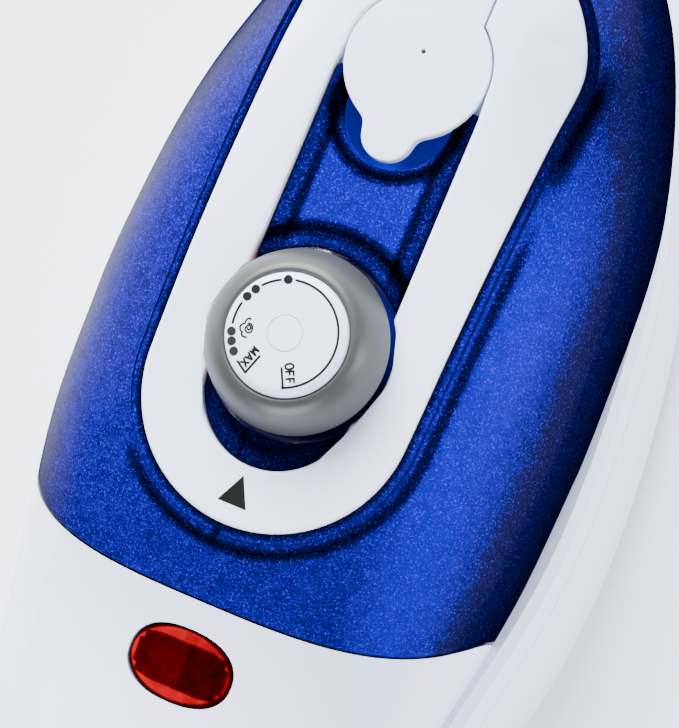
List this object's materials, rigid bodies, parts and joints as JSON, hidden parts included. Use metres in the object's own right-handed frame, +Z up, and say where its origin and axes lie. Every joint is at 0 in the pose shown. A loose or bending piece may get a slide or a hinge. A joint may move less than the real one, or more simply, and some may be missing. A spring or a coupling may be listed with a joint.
{
  "type": "steam iron",
  "caption": "Steam iron with a translucent blue water tank, white console ring, grey dial, hinged filler lid, red pilot lens and an in-line stick handle.",
  "frame": {"origin": "on the flat sole face, at the middle of its length and width", "axes": "+Z up from the sole, +Y towards the tip, +X to the right seen from behind the handle"},
  "size_m": [0.0982, 0.3049, 0.0987],
  "materials": {
    "blue_tank": "translucent cobalt blue polycarbonate with a fine spark eroded grain",
    "white_gloss": "glossy white ABS",
    "black_print": "satin black marking",
    "grey_matt": "matt grey polypropylene",
    "red_clear": "clear red polycarbonate",
    "red_plastic": "glossy red acetal",
    "soft_grey": "soft touch elastomer over polypropylene",
    "aluminium": "cast aluminium, ground sole face",
    "steel": "bright steel",
    "brass": "turned brass",
    "dark_plastic": "heat resistant phenolic",
    "silicone": "red silicone rubber",
    "black_rubber": "black moulded rubber",
    "ceramic": "unglazed steatite",
    "lamp_glass": "clear neon bulb glass"
  },
  "bodies": {
    "body": {"water_tank": "blue_tank", "tank_floor": "white_gloss", "tank_seal": "silicone", "drip_valve": "brass", "console_ring": "white_gloss", "pointer_mark": "black_print", "lid_hinge_pin": "steel", "dial_stop_segment": "red_plastic", "upper_body": "white_gloss", "lower_handle": "soft_grey", "lower_skirt": "white_gloss", "heat_shield": "dark_plastic", "soleplate": "aluminium", "heating_element": "steel", "steam_cover": "aluminium", "steam_gasket": "silicone", "thermostat_wedge": "aluminium", "thermostat": "ceramic", "thermal_fuse": "ceramic", "indicator_lens": "red_clear", "lamp_holder": "dark_plastic", "neon_lamp": "lamp_glass", "pump_cylinder": "dark_plastic", "trigger_spring": "steel", "pump_hose": "silicone", "cord_gland": "black_rubber", "terminal_block": "ceramic", "handle_screws": "steel", "cover_screws": "steel"},
    "dial": {"dial_grip": "grey_matt", "dial_face": "white_gloss", "dial_cap": "white_gloss", "dial_spindle": "dark_plastic"},
    "lid": {"filler_lid": "white_gloss", "lid_plug": "silicone"},
    "trigger": {"steam_trigger": "black_print", "pump_piston": "dark_plastic"}
  },
  "joints": [
    {"name": "dial_turn", "type": "hinge", "parent": "body", "child": "dial", "pos_m": [0, -0.002, 0.033], "axis": [0, -0.1392, -0.9903], "range_deg": [0, 333]},
    {"name": "lid_swing", "type": "hinge", "parent": "body", "child": "lid", "pos_m": [0, 0.07079, 0.05872], "axis": [-1, 0, 0], "range_deg": [0, 100]},
    {"name": "trigger_press", "type": "slide", "parent": "body", "child": "trigger", "axis": [0, 0.1392, 0.9903], "range_m": [0, 0.0045], "stiffness_N_per_m": 150, "springref_m": -0.001, "deforming": ["trigger_spring"]}
  ]
}
